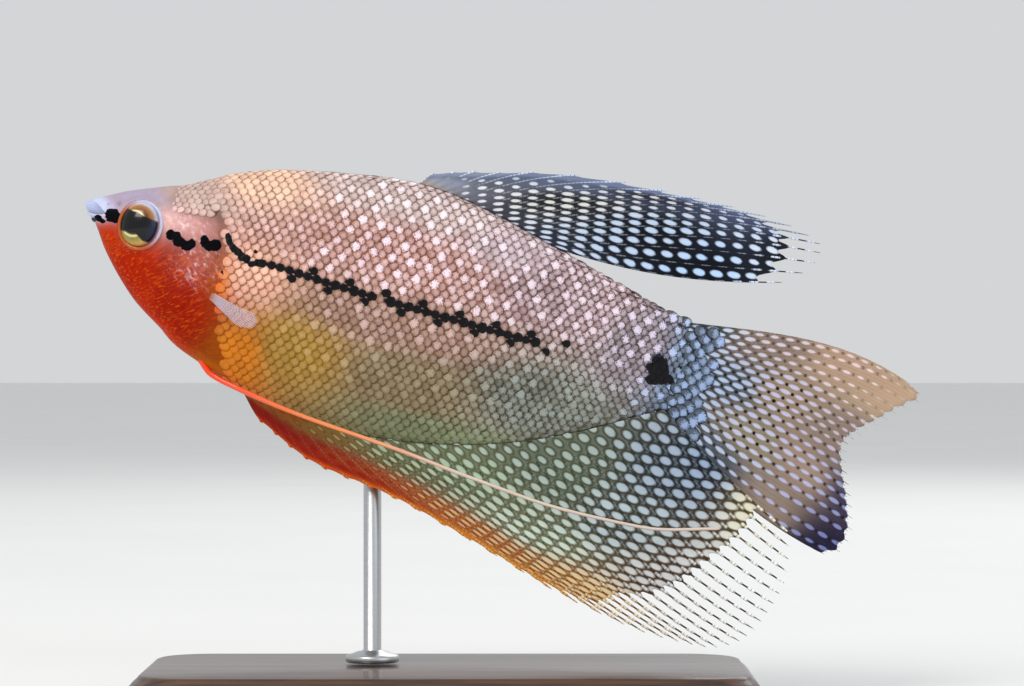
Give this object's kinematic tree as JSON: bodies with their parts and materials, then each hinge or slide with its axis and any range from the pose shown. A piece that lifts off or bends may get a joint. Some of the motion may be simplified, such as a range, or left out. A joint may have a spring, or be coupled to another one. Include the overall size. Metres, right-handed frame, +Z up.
{
  "type": "pearl gourami model on a display stand",
  "caption": "Life-size male pearl gourami hanging head up above a flat wooden base, held by a thin rod that meets its lower flank.",
  "frame": {"origin": "middle of the bounding box's underside, on the underside of the stand base", "axes": "+X from the head to the tail, +Y to the fish's right side, +Z up; the fish's own long axis is pitched head up by 15 degrees"},
  "size_m": [0.1124, 0.044, 0.0716],
  "materials": {
    "skin": "wet scaly skin, brown net with pearly spots, orange-red throat",
    "eye": "clear and glossy over a gold iris with a black band",
    "fin": "thin, satin, dark net with pale oval spots",
    "clear_fin": "thin, pale and see-through with fine rays",
    "feeler": "smooth, orange at the root, pale towards the tip",
    "base_wood": "dark stained hardwood under satin varnish",
    "rod_steel": "fine brushed steel"
  },
  "bodies": {
    "root": {"head": "skin", "gill_cover_left": "skin", "gill_cover_right": "skin", "trunk": "skin", "tail_stalk": "skin", "eye_left": "eye", "eye_right": "eye", "dorsal_fin": "fin", "anal_fin": "fin", "caudal_fin": "fin", "pectoral_fin_left": "clear_fin", "pectoral_fin_right": "clear_fin", "pelvic_fin_left": "feeler", "pelvic_fin_right": "feeler", "stand_base": "base_wood", "stand_rod": "rod_steel"}
  },
  "joints": []
}
